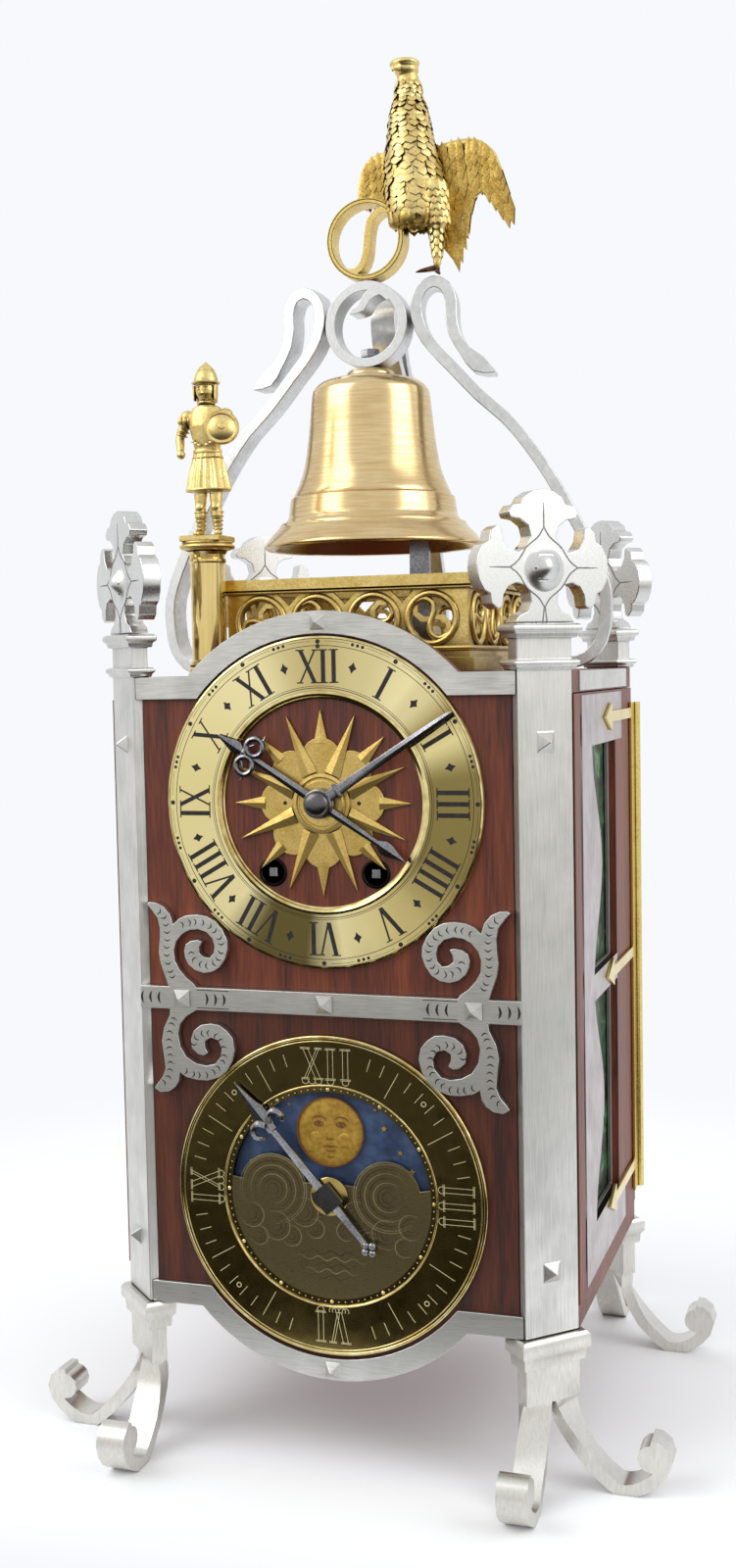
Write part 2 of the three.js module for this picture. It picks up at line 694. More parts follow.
// Case panels and boards
function makeFrontPanel() {
  const upper = rail.archReach - panel.edgeInset;
  const halfWidth = railHalfLength;
  const top = roofLevel - panel.baseInset;
  const bottom = baseLevel + panel.baseInset;
  const upperStart = Math.asin((top - mainDialLevel) / upper);
  const lowerStart = Math.asin((moonDialLevel - bottom) / upper);
  const points = [
    point(-halfWidth, bottom),
    ...arc(upper, Math.PI + lowerStart, 2 * Math.PI - lowerStart, flats.plate, 0, moonDialLevel),
    point(halfWidth, bottom),
    point(halfWidth, top),
    ...arc(upper, upperStart, Math.PI - upperStart, flats.plate, 0, mainDialLevel),
    point(-halfWidth, top),
  ];
  const holes = [
    circle(arbor.panelBore, flats.shaft, 0, mainDialLevel),
    circle(barrel.panelBore, flats.shaft, -barrel.x, barrel.level),
    circle(barrel.panelBore, flats.shaft, barrel.x, barrel.level),
    circle(arbor.pipeInner, flats.shaft, 0, moonDialLevel),
  ];
  const wood = frontSheet(sheet(points, holes), panelFront, panel.thickness);
  const recess = crossRod(
    moonRecess.radius,
    0,
    moonDialLevel,
    panelFront - cutOverrun,
    panelFront + moonRecess.depth,
    flats.ring,
  );
  return clearOfPillars(cut(wood, recess));
}

function makeRearPanel() {
  const shape = sheet(rectangle(
    -railHalfLength,
    baseLevel + panel.baseInset,
    railHalfLength,
    roofLevel - panel.baseInset,
  ));
  return clearOfPillars(frontSheet(shape, -panelBack, panel.thickness));
}

function makeBoard(bottom, holes) {
  const halfDepth = -panelBack - gap;
  const halfWidth = cornerX + pillarRun;
  const shape = sheet(rectangle(-halfWidth, -halfDepth, halfWidth, halfDepth), holes);
  return clearOfPillars(flatSheet(shape, bottom, board.thickness));
}

addPart("front_panel", makeFrontPanel(), "mahogany");
addPart("rear_panel", makeRearPanel(), "mahogany");
addPart("base_board", makeBoard(baseLevel, []), "mahogany");
addPart("roof_board", makeBoard(roofLevel - board.thickness, [
  rectangle(hammerHole.left, hammerHole.front, hammerHole.right, hammerHole.back),
]), "mahogany");

// Dials
function makeRing(size, level) {
  const shape = sheet(circle(size.outer, flats.ring, 0, level), [circle(size.inner, flats.ring, 0, level)]);
  return frontSheet(shape, frontFace, size.thickness);
}

function makeSunburst() {
  const pitch = (2 * Math.PI) / sunburstPoints;
  const turn = sunburstAngleShares;
  const half = [
    [sunburst.reach, 0],
    [sunburst.lobe * sunburstShares.valley, turn.longRay],
    [sunburst.lobe * sunburstShares.lobeEdge, turn.lobeStart],
    [sunburst.lobe, turn.lobeMiddle],
    [sunburst.lobe, turn.shortRay],
  ];
  const points = [];
  for (let i = 0; i < sunburstPoints; i += 1) {
    const sector = [
      ...half,
      [sunburst.reach * sunburstShares.shortRay, 0.5],
      ...half.slice(1).reverse().map(([radius, share]) => [radius, 1 - share]),
    ];
    sector.forEach(([radius, share]) => {
      const angle = (i + 0.5 + share) * pitch;
      points.push(point(radius * Math.cos(angle), mainDialLevel + radius * Math.sin(angle)));
    });
  }
  const shape = sheet(points, [circle(sunburst.bore, flats.shaft, 0, mainDialLevel)]);
  return frontSheet(shape, panelFront - gap - sunburst.thickness, sunburst.thickness);
}

// The cloud plate is open above; two round humps hide the moon at each end of its path
function makeCloudPlate() {
  const lift = (p) => point(p.x, p.y + moonDialLevel);
  const humpFoot = Math.PI * 0.06;
  const opening = [
    ...arc(cloud.rim, Math.PI * 0.04, Math.PI * 0.96, flats.plate),
    ...arc(cloud.humpRadius, Math.PI - humpFoot, humpFoot, flats.shaft, -cloud.humpX, cloud.humpRise),
    ...arc(cloud.hub, Math.PI * 0.75, Math.PI * 0.25, 4),
    ...arc(cloud.humpRadius, Math.PI - humpFoot, humpFoot, flats.shaft, cloud.humpX, cloud.humpRise),
  ];
  const shape = sheet(
    circle(cloud.outer - gap, flats.ring).map(lift),
    [opening.map(lift), circle(cloud.bore, flats.small).map(lift)],
  );
  return frontSheet(shape, panelFront - gap - cloud.thickness, cloud.thickness);
}

function makeMoonDisc() {
  const front = panelFront + gap + moonDisc.relief + cloud.thickness;
  const bore = circle(moonDisc.bore, flats.small, 0, moonDialLevel);
  const plate = frontSheet(
    sheet(circle(moonDisc.radius, flats.ring, 0, moonDialLevel), [bore]),
    front,
    moonDisc.thickness,
  );
  const floor = panelFront + moonRecess.depth - gap;
  const hub = frontSheet(
    sheet(circle(moonDisc.hub, flats.shaft, 0, moonDialLevel), [bore]),
    front + moonDisc.thickness / 2,
    floor - front - moonDisc.thickness / 2,
  );
  const moons = [-1, 1].map((side) => frontSheet(
    sheet(circle(moonDisc.moonRadius, flats.column, 0, moonDialLevel + side * moonDisc.moonOrbit)),
    front - moonDisc.relief,
    moonDisc.relief + moonDisc.thickness / 2,
  ));
  return join(plate, hub, ...moons);
}

addPart("chapter_ring", makeRing(chapter, mainDialLevel), "brass");
addPart("moon_chapter_ring", makeRing({ ...moonChapter, inner: cloud.outer }, moonDialLevel), "brass");
addPart("sunburst", makeSunburst(), "gilt");
addPart("cloud_plate", makeCloudPlate(), "gilt");
addPart("moon_disc", makeMoonDisc(), "night");

// Hands are cut from sheet steel about their hub, then turned to the time
const hourHandFront = frontFace - gap - 2 * hands.thickness;
const minuteHandFront = hourHandFront - hands.spacing - hands.thickness;

function bladeOutline(tipShares, tip, tailShares, tail) {
  const above = tipShares.map(([along, half]) => point(along * tip, half * hands.hub));
  const below = above.slice(0, -1).reverse().map((p) => point(p.x, -p.y));
  const tailBelow = tailShares.slice(1).map(([along, half]) => point(-along * tail, -half * hands.hub));
  const tailAbove = tailBelow.slice(0, -1).reverse().map((p) => point(p.x, -p.y));
  return [...above, ...below, ...tailBelow, ...tailAbove];
}

function finishHand(pieces, bore, front, level, angle) {
  const blank = join(...pieces.map((shape) => frontSheet(shape, front, hands.thickness)));
  const hole = crossRod(bore, 0, 0, front - cutOverrun, front + hands.thickness + cutOverrun, flats.shaft);
  return cut(blank, hole).rotateY(-angle).translate(0, 0, level);
}

function makeHourHand() {
  const s = hourScrollShares;
  const scrolls = [-1, 1].map((side) => sheet(
    circle(s.outer * hands.hub, flats.shaft, s.along * hands.hourTip, side * s.across * hands.hub),
    [circle(s.inner * hands.hub, flats.small, s.along * hands.hourTip, side * s.across * hands.hub)],
  ));
  const blade = sheet(bladeOutline(hourBladeShares, hands.hourTip, hourTailShares, hands.hourTail));
  return finishHand(
    [blade, sheet(circle(hands.hub, flats.column)), ...scrolls],
    arbor.pipeOuter + gap,
    hourHandFront,
    mainDialLevel,
    hourHandAngle,
  );
}

function makeMinuteHand() {
  const half = hands.minuteWidth / 2;
  const blade = sheet([
    point(-hands.minuteTail, -half),
    point(0, -half),
    point(hands.minuteTip, -half / 3),
    point(hands.minuteTip, half / 3),
    point(0, half),
    point(-hands.minuteTail, half),
  ]);
  return finishHand(
    [blade, sheet(circle(hands.hub, flats.column))],
    arbor.radius + gap,
    minuteHandFront,
    mainDialLevel,
    minuteHandAngle,
  );
}

function makeMoonHand() {
  const blade = sheet(bladeOutline(moonBladeShares, hands.moonTip, moonTailShares, hands.moonTail));
  const hub = sheet(rectangle(-hands.moonHub, -hands.moonHub, hands.moonHub, hands.moonHub));
  const front = hourHandFront;
  const plate = join(
    frontSheet(blade, front, hands.thickness),
    frontSheet(hub, front - hands.thickness, 2 * hands.thickness),
  );
  const pin = crossRod(arbor.radius, 0, 0, front, panelBack - gap, flats.shaft);
  return join(plate, pin).rotateY(-moonHandAngle).translate(0, 0, moonDialLevel);
}

function makeHandNut() {
  const back = minuteHandFront - gap;
  const dome = ball(corner3(0, back, 0), hands.nutRadius, hands.nutHeight, hands.nutRadius, flats.shaft);
  const behind = box(
    corner3(-hands.hub, back, -hands.hub),
    corner3(hands.hub, back + hands.nutHeight + cutOverrun, hands.hub),
  );
  const bore = crossRod(
    arbor.radius + gap,
    0,
    0,
    back - hands.nutHeight / 2,
    back + cutOverrun,
    flats.shaft,
  );
  return cut(dome, behind, bore).translate(0, 0, mainDialLevel);
}

addPart("hour_hand", makeHourHand(), "steel");
addPart("minute_hand", makeMinuteHand(), "steel");
addPart("hand_nut", makeHandNut(), "steel");
addPart("moon_hand", makeMoonHand(), "steel");

// Side doors: wooden frame, pierced plate in front of green glass, brass straps and the hinge pin
const doorHalf = -panelBack - gap;
const hingeX = doorFace + hinge.setOut;
const hingeY = cornerX + cornerY + (hinge.radius + gap) / cos45 - hingeX;
const doorFront = -(cornerY - pillarRun) + gap;
const windowFront = -doorHalf + door.frontStile;
const windowBack = doorHalf - door.rearStile;
const windowBottom = door.bottom + door.bottomRail;
const windowTop = door.top - door.topRail;

function makeDoorFrame() {
  const rearEdge = hingeY - hinge.radius - gap;
  const shape = sheet(
    rectangle(doorFront, door.bottom, rearEdge, door.top),
    [rectangle(windowFront, windowBottom, windowBack, windowTop)],
  );
  // The front edge stops short of the pillar's inner corner, so that the door can swing out past it
  const swingRoom = box(
    corner3(doorFace - door.thickness - cutOverrun, -doorHalf - cutOverrun, door.bottom - cutOverrun),
    corner3(
      pillarInnerX + pillar.gapToNeighbours,
      -pillarInnerY + 2 * pillar.gapToNeighbours,
      door.top + cutOverrun,
    ),
  );
  return cut(clearOfPillars(sideSheet(shape, doorFace - door.thickness, door.thickness)), swingRoom);
}

// The plate's two lights have a wavy front edge, a cosine along the height, and a straight rear edge
function traceryLight(bottom, top) {
  const rear = windowBack - tracery.rearMargin;
  const steps = 16;
  const wavy = Array.from({ length: steps + 1 }, (_, i) => {
    const share = i / steps;
    const wave = -Math.cos(2 * Math.PI * tracery.waves * share);
    return point(windowFront + tracery.frontMargin + tracery.swing * wave, bottom + share * (top - bottom));
  });
  return [point(rear, bottom), point(rear, top)].concat(wavy.reverse());
}

function makeTracery() {
  const outline = rectangle(windowFront + gap, windowBottom + gap, windowBack - gap, windowTop - gap);
  const lights = [
    traceryLight(windowBottom + tracery.margin, strapLevel - tracery.bar / 2),
    traceryLight(strapLevel + tracery.bar / 2, windowTop - tracery.margin),
  ];
  return sideSheet(
    sheet(outline, lights),
    doorFace - tracery.recess - tracery.thickness,
    tracery.thickness,
  );
}

function makeGlass() {
  const shape = sheet(rectangle(windowFront + gap, windowBottom + gap, windowBack - gap, windowTop - gap));
  return sideSheet(
    shape,
    doorFace - tracery.recess - tracery.thickness - gap - glass.thickness,
    glass.thickness,
  );
}

function makeStraps() {
  const rear = hingeY - hinge.radius - gap;
  const front = rear - straps.width;
  const strip = sheet(rectangle(front, door.bottom + straps.inset, rear, door.top - straps.inset));
  const arms = strapArmLevels.map((level) => {
    const neck = front - straps.armReach + straps.headLength;
    const half = straps.armWidth / 2;
    return sheet([
      point(rear, level - half),
      point(rear, level + half),
      point(neck, level + half),
      point(neck, level + straps.headWidth / 2),
      point(front - straps.armReach, level),
      point(neck, level - straps.headWidth / 2),
      point(neck, level - half),
    ]);
  });
  return join(...[strip, ...arms].map((shape) => sideSheet(shape, doorFace + gap, straps.thickness)));
}

// The fixed pin is held by three lugs that lie on the outer face of the rear pillar
function makeHinge() {
  const pin = rod(
    hinge.radius,
    corner3(hingeX, hingeY, door.bottom + straps.inset),
    corner3(hingeX, hingeY, door.top - straps.inset),
    flats.shaft,
  );
  const lugs = strapArmLevels.map((level) => box(
    corner3(-hinge.radius, 0, level - hinge.lug),
    corner3(hinge.radius, hinge.lugLength, level + hinge.lug),
  ).rotateZ(Math.PI / 4).translate(hingeX, hingeY, 0));
  return join(pin, ...lugs);
}

for (const [name, side] of [["right", 1], ["left", -1]]) {
  const mirror = (geometry) => closedMesh(geometry.clone().scale(side, 1, 1));
  addPart(`${name}_door_frame`, mirror(makeDoorFrame()), "mahogany");
  addPart(`${name}_tracery`, mirror(makeTracery()), "nickel");
  addPart(`${name}_glass`, mirror(makeGlass()), "glass");
  addPart(`${name}_door_straps`, mirror(makeStraps()), "brass");
  addPart(`${name}_hinge_pin`, mirror(makeHinge()), "brass");
}

// Gallery: a moulded base, four pierced sides with posts, and a flat top rail
function makeGallery() {
  const bottom = roofLevel + gap;
  const top = bottom + gallery.baseHeight;
  const squareRing = (outer, inner, low, high) => flatSheet(
    sheet(rectangle(-outer, -outer, outer, outer), [rectangle(-inner, -inner, inner, inner)]),
    low,
    high - low,
  );
  const centre = (top + gallery.railBottom) / 2;
  const pitch = (2 * (gallery.half - gallery.post / 2)) / motifsPerSide;
  const inner = gallery.motifRadius - gallery.band;
  const holes = [];
  const bars = [];
  for (let i = 0; i < motifsPerSide; i += 1) {
    const x = (i - (motifsPerSide - 1) / 2) * pitch;
    const spin = Math.PI * (i % 2 ? 0.25 : 0.75);
    holes.push(circle(inner, flats.motif, x, centre));
    bars.push(band(motifBarShares.map(([out, up]) => [out * inner, up * inner, gallery.band / 2]), 7)
      .map((p) => p.rotateAround(point(0, 0), spin).add(point(x, centre))));
  }
  const spandrelHalf = gallery.motifRadius * 0.5;
  const spandrelRise = (gallery.railBottom - top) / 2 - gallery.band / 2;
  for (let i = 1; i < motifsPerSide; i += 1) {
    const x = (i - motifsPerSide / 2) * pitch;
    for (const up of [-1, 1]) {
      holes.push([
        point(x - spandrelHalf, centre + up * spandrelRise),
        point(x + spandrelHalf, centre + up * spandrelRise),
        point(x, centre + up * (spandrelRise - gallery.motifRadius * 0.5)),
      ]);
    }
  }
  const outline = rectangle(
    -gallery.half,
    top - gallery.band / 2,
    gallery.half,
    gallery.railBottom + gallery.band / 2,
  );
  const pierced = cut(
    frontSheet(sheet(outline), -gallery.half, gallery.plate),
    ...holes.map((hole) => frontSheet(
      sheet(hole),
      -gallery.half - cutOverrun,
      gallery.plate + 2 * cutOverrun,
    )),
  );
  const side = join(pierced, ...bars.map((bar) => frontSheet(sheet(bar), -gallery.half, gallery.plate)));
  const sides = [0, 1, 2, 3].map((k) => side.clone().rotateZ((k * Math.PI) / 2));
  const posts = corners.map(({ side: x, end: y }) => {
    const out = gallery.half;
    const inside = gallery.half - gallery.post;
    return box(
      corner3(Math.min(x * inside, x * out), Math.min(y * inside, y * out), top - gallery.band / 2),
      corner3(
        Math.max(x * inside, x * out),
        Math.max(y * inside, y * out),
        gallery.railBottom + gallery.band / 2,
      ),
    );
  });
  return join(
    squareRing(gallery.baseHalf, gallery.inner, bottom, bottom + gallery.baseHeight * 0.7),
    squareRing(gallery.half + gallery.band / 2, gallery.inner, bottom, top),
    ...sides,
    ...posts,
    squareRing(gallery.railHalf, gallery.inner, gallery.railBottom, gallery.railTop),
  );
}

addPart("gallery", makeGallery(), "gilt");

function makeColumn() {
  const bottom = roofLevel + gap;
  const rise = column.capBottom - gap - bottom;
  const profileShares = [[0, 0], [1, 0], [1, 0.04], [0.9, 0.06], [0.8, 0.075], [0.8, 1], [0, 1]];
  const profile = profileShares.map(([out, up]) => point(out * column.baseRadius, bottom + up * rise));
  return turned(profile, flats.column).translate(column.x, column.y, 0);
}

// The soldier stands on a round cap and a square plinth; every part is sized from the height
function makeSoldier() {
  const foot = column.capTop + plinth.height;
  const h = soldier.height;
  const w = soldier.width;
  const at = (x, y, z) => corner3(x * w, y * w, foot + z * h);
  const capHeight = column.capTop - column.capBottom;
  const capShares = [[0, 0], [0.9, 0], [1, 0.3], [0.96, 0.5], [0.88, 0.62], [0.92, 0.8], [0.84, 1], [0, 1]];
  const cap = turned(
    capShares.map(([out, up]) => point(out * column.capRadius, column.capBottom + up * capHeight)),
    flats.column,
  );
  const block = box(
    corner3(-plinth.half, -plinth.half, column.capTop - gap),
    corner3(plinth.half, plinth.half, foot),
  );
  // Level, half width and half depth of the skirt and the body
  const trunkShares = [
    [0.24, 0.62, 0.46], [0.27, 0.66, 0.5], [0.36, 0.5, 0.4], [0.44, 0.36, 0.29], [0.5, 0.37, 0.29],
    [0.6, 0.46, 0.33],
    [0.67, 0.5, 0.33], [0.71, 0.4, 0.27], [0.74, 0.16, 0.16],
  ];
  const trunk = skin(trunkShares.map(([z, x, y]) => oval(0, 0, foot + z * h, x * w, y * w, flats.shaft)));
  const head = ball(at(0, -0.02, 0.815), 0.235 * w, 0.27 * w, 0.075 * h, flats.small);
  const neck = limb(at(0, 0, 0.7), at(0, 0, 0.79), 0.17 * w, 0.15 * w);
  const helmetShares = [
    [0, 0.84], [0.36, 0.84], [0.38, 0.86], [0.31, 0.88], [0.28, 0.92], [0.17, 0.965], [0.04, 1],
    [0, 1],
  ];
  const helmet = turned(helmetShares.map(([out, up]) => point(out * w, foot + up * h)), flats.shaft);
  const cheeks = ball(at(0, 0.07, 0.81), 0.28 * w, 0.22 * w, 0.08 * h, flats.small);
  const parts = [
    block, trunk, head, neck, helmet, cheeks,
    limb(at(-0.27, 0, -0.005), at(-0.25, 0.02, 0.28), 0.13 * w, 0.19 * w),
    limb(at(0.34, -0.02, -0.005), at(0.38, -0.12, 0.17), 0.13 * w, 0.17 * w),
    limb(at(0.38, -0.12, 0.15), at(0.24, 0, 0.3), 0.17 * w, 0.2 * w),
    ball(at(-0.27, -0.12, 0.02), 0.15 * w, 0.26 * w, 0.024 * h, flats.small),
    ball(at(0.34, -0.14, 0.02), 0.15 * w, 0.26 * w, 0.024 * h, flats.small),
    limb(at(-0.42, 0, 0.66), at(-0.66, -0.05, 0.5), 0.17 * w, 0.13 * w),
    limb(at(-0.66, -0.05, 0.52), at(-0.55, -0.14, 0.42), 0.13 * w, 0.1 * w),
    ball(at(-0.55, -0.15, 0.41), 0.14 * w, 0.14 * w, 0.034 * h, flats.small),
    limb(at(0.42, 0, 0.66), at(0.58, -0.2, 0.56), 0.17 * w, 0.13 * w),
    ball(at(0.6, -0.36, 0.545), 0.37 * w, 0.15 * w, 0.1 * h, flats.shaft),
  ];
  return join(cap, ...parts).translate(column.x, column.y, 0);
}

addPart("column", makeColumn(), "brass");
addPart("soldier", makeSoldier(), "gilt");

// Bell and crown stand about one upright axis a little in front of the clock's centre
const crownPlace = new THREE.Group();
crownPlace.position.y = crownY;
clock.add(crownPlace);
const crownBottom = roofLevel + gap;
const ringLevel = bell.lipLevel + bell.height + crownRing.aboveBell + crownRing.outer;
const footShare = crownArmShares[crownArmShares.length - 5][1];
const scrollTopShare = Math.max(...crownArmShares.map(([, up]) => up));
const crownReach = (gallery.baseHalf + crown.footToGallery) / footInnerShare;
const scrollLevel = ringLevel + crown.scrollAboveRing;
const crownRise = (scrollLevel - crownBottom - crown.barHalf) / (scrollTopShare - footShare);
const perchLevel = scrollLevel + crown.barHalf + gap;

function makeBell() {
  const outer = bellOuterShares.map(([out, up]) => point(
    out * bell.lipRadius,
    bell.lipLevel + up * bell.height,
  ));
  const inner = bellInnerShares.map(([out, up]) => point(
    out * bell.lipRadius,
    bell.lipLevel + up * bell.height,
  ));
  const crownTop = point(bell.bore, bell.lipLevel + bell.height);
  const crownUnder = point(bell.bore, inner[0].y + bell.wall / 2);
  return turned([...outer, crownTop, crownUnder, ...inner, outer[0]], flats.bell);
}

const boltHole = bell.bore - gap;

function makeCrownRing() {
  const level = ringLevel;
  const ring = frontSheet(
    sheet(circle(crownRing.outer, flats.ring, 0, level), [circle(crownRing.inner, flats.ring, 0, level)]),
    -crown.depth / 2,
    crown.depth,
  );
  const halves = [1, 1, 0.8, 0.8, 0.3];
  const hook = band(
    crownHookShares.map(([x, y], i) => [
      x * crownRing.outer,
      level + y * crownRing.outer,
      halves[i] * crown.barHalf,
    ]),
    8,
  );
  const hole = rod(
    bell.bore,
    corner3(0, 0, level - crownRing.outer - cutOverrun),
    corner3(0, 0, level - crownRing.inner + cutOverrun),
    flats.shaft,
  );
  return cut(join(ring, frontSheet(sheet(hook), -crown.depth / 2, crown.depth)), hole);
}

function makeBellBolt() {
  const hollow = crownRing.inner - Math.sqrt(crownRing.inner ** 2 - bellBolt.headRadius ** 2);
  const headBottom = ringLevel - crownRing.inner + hollow + gap;
  const crownUnder = bell.lipLevel + bellInnerShares[0][1] * bell.height;
  const nutTop = crownUnder - gap;
  const shaft = rod(
    boltHole,
    corner3(0, 0, nutTop - bellBolt.nutHeight / 2),
    corner3(0, 0, headBottom + bellBolt.headHeight / 2),
    flats.shaft,
  );
  const head = rod(
    bellBolt.headRadius,
    corner3(0, 0, headBottom),
    corner3(0, 0, headBottom + bellBolt.headHeight),
    flats.small,
  );
  const nut = rod(bellBolt.nutRadius, corner3(0, 0, nutTop - bellBolt.nutHeight), corner3(0, 0, nutTop), 6);
  return join(shaft, head, nut);
}

// One arm of the crown in the plane of its own radius, before it is turned into place
function makeCrownArm(footShift) {
  const w = crownArmWidthShares;
  const last = crownArmShares.length - 1;
  const stations = crownArmShares.map(([out, up], i) => {
    const leaf = i === 0 ? w.leafTip : i === 1 ? w.leaf : w.bar;
    const width = i > last - 2 ? w.foot : leaf;
    const shift = Math.max(0, footStartShare - out) * (up < 0.2 ? 1 : 0);
    return [
      out * crownReach + (shift / (footStartShare - crownArmShares[last][0])) * footShift,
      crownBottom + crown.barHalf + (up - footShare) * crownRise,
      width * crown.barHalf,
    ];
  });
  return frontSheet(sheet(band(stations, 54)), -crown.depth / 2, crown.depth);
}

function makeGiltRing() {
  const level = ringLevel + crownRing.outer + gap + giltRing.outer;
  const ring = frontSheet(
    sheet(circle(giltRing.outer, flats.ring, 0, level), [circle(giltRing.inner, flats.ring, 0, level)]),
    -giltRing.depth / 2,
    giltRing.depth,
  );
  const bar = band(
    giltBarShares.map(([x, y]) => [x * giltRing.outer, level + y * giltRing.outer, giltRing.barHalf]),
    14,
  );
  return join(ring, frontSheet(sheet(bar), -giltRing.depth / 2, giltRing.depth));
}


// The eagle stands with one foot on the right scroll and leans against the gilt ring
function makeEagle() {
  const h = eagle.height;
  const at = (x, y, z) => corner3(eagle.x + x * h, y * h, perchLevel + z * h);
  const plate = (shares, back, thickness) => frontSheet(
    sheet(shares.map(([x, z]) => point(eagle.x + x * h, perchLevel + z * h))),
    back,
    thickness,
  );
  const body = skin(eagleBodyShares.map(([z, x, halfX, halfY]) => oval(
    eagle.x + x * h, 0, perchLevel + z * h, halfX * h, halfY * h, flats.shaft,
  )));
  const beak = eagleBeakShares;
  const foot = corner3(eagle.footX, 0, perchLevel + eagle.footHalf);
  const parts = [
    body,
    plate(eagleRightWingShares, eagle.wingBack, eagle.wingThickness),
    plate(eagleLeftWingShares, eagle.wingBack, eagle.wingThickness),
    plate(eagleTailShares, eagle.wingBack, eagle.wingThickness),
    limb(
      at(beak.side, beak.forward, beak.level),
      at(beak.side - beak.length, -beak.length, beak.level - beak.drop),
      beak.radius * h,
      beak.radius * h * 0.2,
    ),
    limb(foot, at(0.11, 0, 0.22), eagle.legRadius, eagle.legRadius * 1.7),
    ball(foot, 3 * eagle.footHalf, 2.4 * eagle.footHalf, eagle.footHalf, flats.small),
  ];
  const level = ringLevel + crownRing.outer + gap + giltRing.outer;
  const ringRoom = crossRod(
    giltRing.outer + gap,
    0,
    level,
    -giltRing.depth / 2 - gap,
    giltRing.depth / 2 + gap,
    flats.ring,
  );
  return cut(join(...parts), ringRoom);
}

addPart("bell", makeBell(), "bronze", crownPlace);
addPart("crown_ring", makeCrownRing(), "nickel", crownPlace);
addPart("bell_bolt", makeBellBolt(), "steel", crownPlace);
addPart("gilt_scroll_ring", makeGiltRing(), "gilt", crownPlace);
addPart("eagle", makeEagle(), "gilt", crownPlace);
addPart("crown_right_arm", makeCrownArm(0), "nickel", crownPlace).rotation.z = crownTurnAngle;
addPart("crown_left_arm", makeCrownArm(0), "nickel", crownPlace).rotation.z = Math.PI - crownTurnAngle;
addPart("crown_rear_arm", makeCrownArm(crown.rearFootShift), "nickel", crownPlace).rotation.z = Math.PI / 2;

// Movement: two round plates on pillars, two barrels with winding arbors
const frontPlateY = panelBack + movement.frontPlateGap;
const backPlateY = frontPlateY + movement.plateThickness + movement.plateSpacing;
const pillarAngles = [0.25, 0.75, 1.42, 1.58].map((share) => share * Math.PI);
const pillarPlace = (angle) => point(
  movement.pillarOrbit * Math.cos(angle) * 0.98,
  movement.plateLevel + movement.pillarOrbit * Math.sin(angle),
);
const wheelPlace = point(
  wheels.pitch * Math.cos(wheelSide),
  mainDialLevel + wheels.pitch * Math.sin(wheelSide),
);
const wheelRear = frontPlateY - gap - wheels.thickness;
const wheelFront = wheelRear - gap - wheels.thickness - gap;

function makeFrontPlate() {
  const holes = [
    circle(arbor.radius + runningGap, flats.small, 0, mainDialLevel),
    circle(barrel.arborRadius + runningGap, flats.shaft, -barrel.x, barrel.level),
    circle(barrel.arborRadius + runningGap, flats.shaft, barrel.x, barrel.level),
  ];
  const plate = frontSheet(
    sheet(circle(movement.plateRadius, flats.ring, 0, movement.plateLevel), holes),
    frontPlateY,
    movement.plateThickness,
  );
  const posts = pillarAngles.map((angle) => crossRod(
    movement.postRadius,
    pillarPlace(angle).x,
    pillarPlace(angle).y,
    panelBack + gap,
    frontPlateY + movement.plateThickness / 2,
    flats.small,
  ));
  const wheelStud = crossRod(
    wheels.stud,
    wheelPlace.x,
    wheelPlace.y,
    wheelFront,
    frontPlateY + gap,
    flats.small,
  );
  return join(plate, ...posts, wheelStud);
}

function makeBackPlate() {
  const plate = frontSheet(
    sheet(circle(movement.plateRadius, flats.ring, 0, movement.plateLevel)),
    backPlateY,
    movement.plateThickness,
  );
  const pillars = pillarAngles.map((angle) => crossRod(
    movement.pillarRadius,
    pillarPlace(angle).x,
    pillarPlace(angle).y,
    frontPlateY + movement.plateThickness + gap,
    backPlateY + movement.plateThickness / 2,
    flats.small,
  ));
  // The cock carries the pendulum's pivot; the stub beside it carries the hammer
  const cockPin = crossRod(
    pendulum.rod, 0, pendulum.level, backPlateY + movement.plateThickness / 2,
    pendulum.y + pendulum.cock, flats.small,
  );
  const hammerPin = crossRod(
    pendulum.rod,
    hammer.x,
    hammer.pivotLevel,
    backPlateY + movement.plateThickness / 2,
    hammer.y + hammer.thickness + pendulum.cock / 2,
    flats.small,
  );
  return join(plate, ...pillars, cockPin, hammerPin);
}

function makeBarrel(side) {
  const front = frontPlateY + movement.plateThickness + (movement.plateSpacing - barrel.length) / 2;
  const shape = sheet(
    circle(barrel.radius, flats.plate, side * barrel.x, barrel.level),
    [circle(barrel.arborRadius + runningGap, flats.shaft, side * barrel.x, barrel.level)],
  );
  return frontSheet(shape, front, barrel.length);
}

function makeWindingArbor(side) {
  const back = backPlateY - gap;
  const shaft = crossRod(barrel.arborRadius, 0, 0, panelFront + panel.thickness / 2, back, flats.shaft);
  const square = frontSheet(
    sheet(rectangle(-barrel.square / 2, -barrel.square / 2, barrel.square / 2, barrel.square / 2)),
    panelFront + gap,
    panel.thickness / 2,
  );
  return join(shaft, square).translate(side * barrel.x, 0, barrel.level);
}

